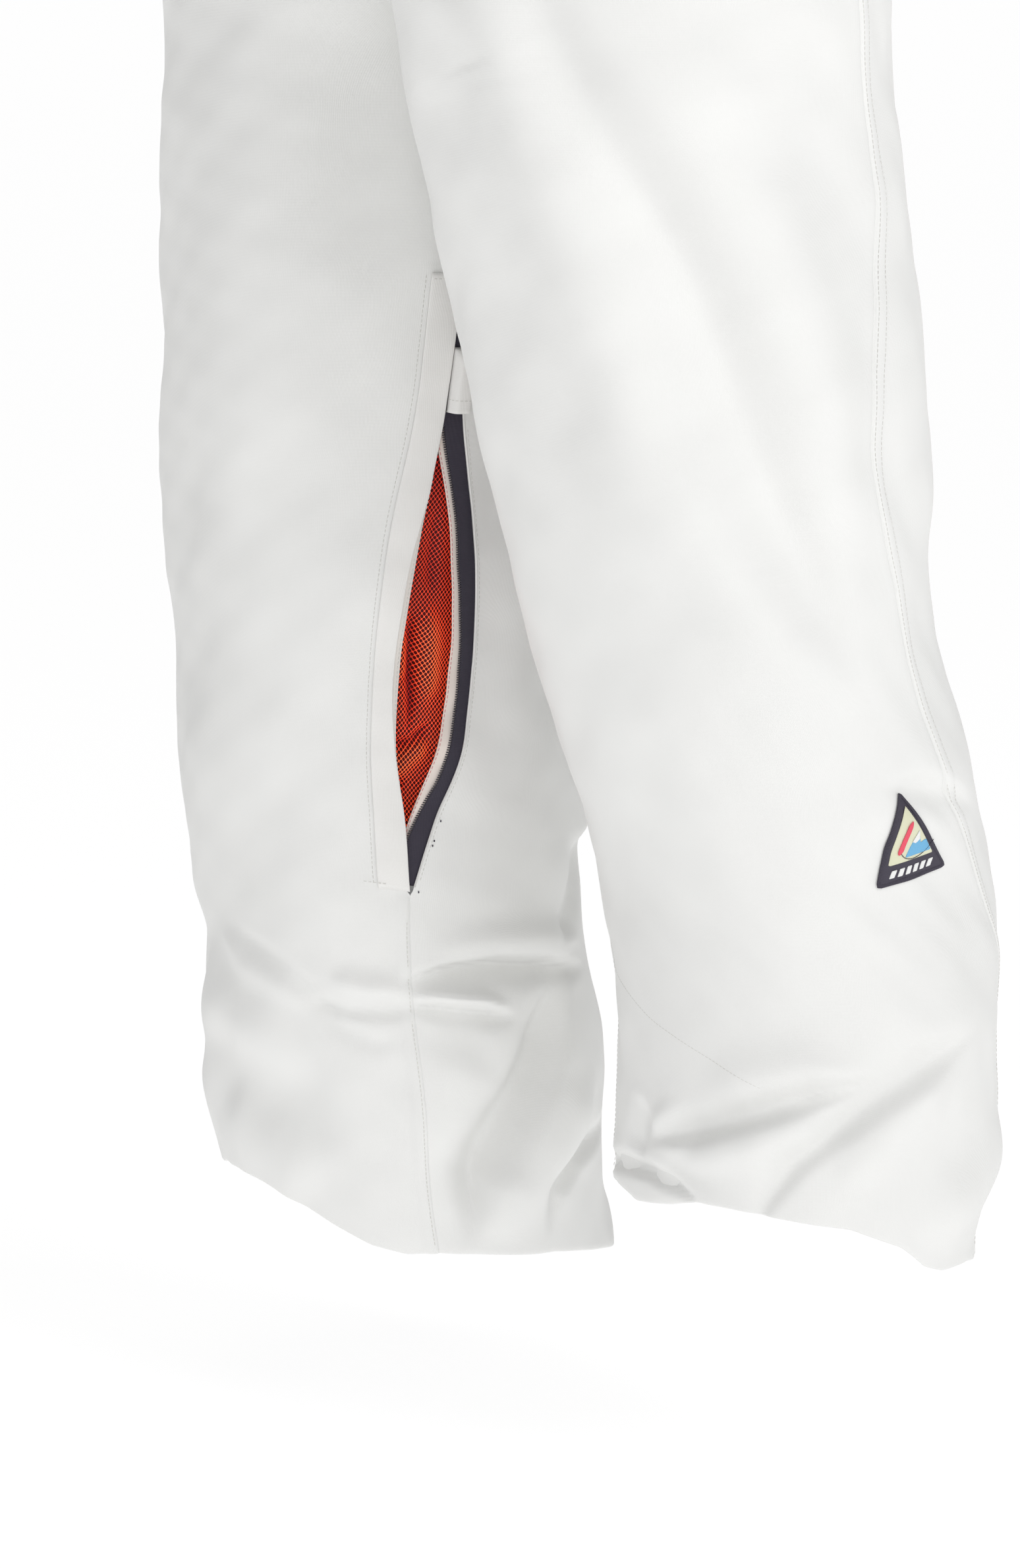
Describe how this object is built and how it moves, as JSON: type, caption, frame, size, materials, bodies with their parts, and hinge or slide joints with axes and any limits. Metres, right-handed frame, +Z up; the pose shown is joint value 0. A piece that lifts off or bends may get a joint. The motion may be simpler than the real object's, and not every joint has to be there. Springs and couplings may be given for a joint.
{
  "type": "ski pants",
  "caption": "Baggy waterproof ski pants as worn, with zipped pockets, two-way thigh vents, one open over orange mesh, and inner gaiters.",
  "frame": {"origin": "centre of the waist opening at the level of the waistband's top edge", "axes": "+Z up out of the waist, +X to the wearer's left, -Y to the wearer's front; the legs hang down -Z"},
  "size_m": [0.5039, 0.3402, 1.0835],
  "materials": {
    "shell_fabric": "smooth waterproof laminate",
    "lining": "light woven lining",
    "shell_trim": "bonded shell fabric",
    "zip_tape": "woven navy tape",
    "vent_mesh": "orange open mesh",
    "zip_metal": "satin lacquered zinc",
    "cuff_elastic": "gripper elastic"
  },
  "bodies": {
    "root": {"belt_loop_1": "shell_trim", "belt_loop_2": "shell_trim", "belt_loop_3": "shell_trim", "belt_loop_4": "shell_trim", "belt_loop_5": "shell_trim", "belt_loop_6": "shell_trim", "calf_patch": "zip_tape", "fly_shield": "lining", "fly_zip_tape": "zip_tape", "left_back_panel": "shell_fabric", "left_back_yoke": "shell_fabric", "left_front_panel": "shell_fabric", "left_gaiter": "lining", "left_gaiter_elastic": "cuff_elastic", "left_hem_facing": "shell_trim", "left_pocket_bag": "lining", "left_pocket_zip_tape": "zip_tape", "left_shin_panel": "shell_fabric", "left_vent_mesh": "vent_mesh", "left_vent_placket": "shell_trim", "left_vent_zip_tape": "zip_tape", "right_back_panel": "shell_fabric", "right_back_yoke": "shell_fabric", "right_front_panel": "shell_fabric", "right_gaiter": "lining", "right_gaiter_elastic": "cuff_elastic", "right_hem_facing": "shell_trim", "right_pocket_bag": "lining", "right_pocket_zip_tape": "zip_tape", "right_shin_panel": "shell_fabric", "right_vent_facing": "shell_trim", "right_vent_garage": "shell_trim", "right_vent_mesh": "vent_mesh", "right_vent_placket": "shell_trim", "right_vent_tape_back": "zip_tape", "right_vent_tape_front": "zip_tape", "snap_stud_lower": "zip_metal", "snap_stud_upper": "zip_metal", "waistband": "shell_fabric", "waistband_lining": "lining"},
    "fly_slider": {"fly_slider": "zip_metal"},
    "fly_pull": {"fly_pull": "zip_metal"},
    "left_pocket_slider": {"left_pocket_slider": "zip_metal"},
    "left_pocket_pull": {"left_pocket_pull": "zip_metal"},
    "right_pocket_slider": {"right_pocket_slider": "zip_metal"},
    "right_pocket_pull": {"right_pocket_pull": "zip_metal"},
    "left_vent_slider": {"left_vent_slider": "zip_metal"},
    "left_vent_pull": {"left_vent_pull": "zip_metal"},
    "right_vent_slider": {"right_vent_slider": "zip_metal"},
    "right_vent_pull": {"right_vent_pull": "zip_metal"},
    "waist_tab": {"waist_tab": "shell_trim", "snap_cap_upper": "zip_metal", "snap_cap_lower": "zip_metal"},
    "left_adjuster_tab": {"left_adjuster_tab": "shell_trim"},
    "left_back_flap": {"left_back_flap": "shell_trim"},
    "right_adjuster_tab": {"right_adjuster_tab": "shell_trim"},
    "right_back_flap": {"right_back_flap": "shell_trim"}
  },
  "joints": [
    {"name": "fly_zip", "type": "slide", "parent": "root", "child": "fly_slider", "axis": [0, -0.1905, -0.9817], "range_m": [0, 0.11]},
    {"name": "fly_pull_pivot", "type": "hinge", "parent": "fly_slider", "child": "fly_pull", "pos_m": [0, -0.1263, -0.05865], "axis": [-1, 0, 0], "range_deg": [0, 140]},
    {"name": "left_pocket_zip", "type": "slide", "parent": "root", "child": "left_pocket_slider", "axis": [0.3745, 0.1322, -0.9178], "range_m": [0, 0.08]},
    {"name": "left_pocket_pull_pivot", "type": "hinge", "parent": "left_pocket_slider", "child": "left_pocket_pull", "pos_m": [0.1607, -0.05582, -0.09437], "axis": [-0.36, -0.8914, -0.2753], "range_deg": [0, 140]},
    {"name": "right_pocket_zip", "type": "slide", "parent": "root", "child": "right_pocket_slider", "axis": [-0.3745, 0.1322, -0.9178], "range_m": [0, 0.08]},
    {"name": "right_pocket_pull_pivot", "type": "hinge", "parent": "right_pocket_slider", "child": "right_pocket_pull", "pos_m": [-0.1607, -0.05582, -0.09437], "axis": [-0.3601, 0.8914, 0.2753], "range_deg": [0, 140]},
    {"name": "left_vent_zip", "type": "slide", "parent": "root", "child": "left_vent_slider", "axis": [0.0597, 0.221, -0.9734], "range_m": [0, 0.09]},
    {"name": "left_vent_pull_pivot", "type": "hinge", "parent": "left_vent_slider", "child": "left_vent_pull", "pos_m": [0.00492, -0.02565, -0.50684], "axis": [-0.1458, 0.9666, 0.2106], "range_deg": [0, 35]},
    {"name": "right_vent_zip", "type": "slide", "parent": "root", "child": "right_vent_slider", "axis": [-0.0798, -0.1001, -0.9918], "range_m": [0, 0.11]},
    {"name": "right_vent_pull_pivot", "type": "hinge", "parent": "right_vent_slider", "child": "right_vent_pull", "pos_m": [-0.01026, -0.03762, -0.55612], "axis": [-0.2711, -0.9553, 0.1182], "range_deg": [0, 8]},
    {"name": "waist_tab_hinge", "type": "hinge", "parent": "root", "child": "waist_tab", "pos_m": [0.04034, -0.11573, -0.025], "axis": [0, 0, 1], "range_deg": [0, 100]},
    {"name": "left_waist_adjuster", "type": "slide", "parent": "root", "child": "left_adjuster_tab", "axis": [-0.0457, -0.999, 0], "range_m": [0, 0.03]},
    {"name": "left_back_flap_hinge", "type": "hinge", "parent": "root", "child": "left_back_flap", "pos_m": [0.11197, 0.11983, -0.1428], "axis": [0.861, -0.5064, 0.0467], "range_deg": [0, 100]},
    {"name": "right_waist_adjuster", "type": "slide", "parent": "root", "child": "right_adjuster_tab", "axis": [0.0457, -0.999, 0], "range_m": [0, 0.03]},
    {"name": "right_back_flap_hinge", "type": "hinge", "parent": "root", "child": "right_back_flap", "pos_m": [-0.11197, 0.11983, -0.1428], "axis": [0.861, 0.5064, -0.0467], "range_deg": [0, 100]}
  ]
}
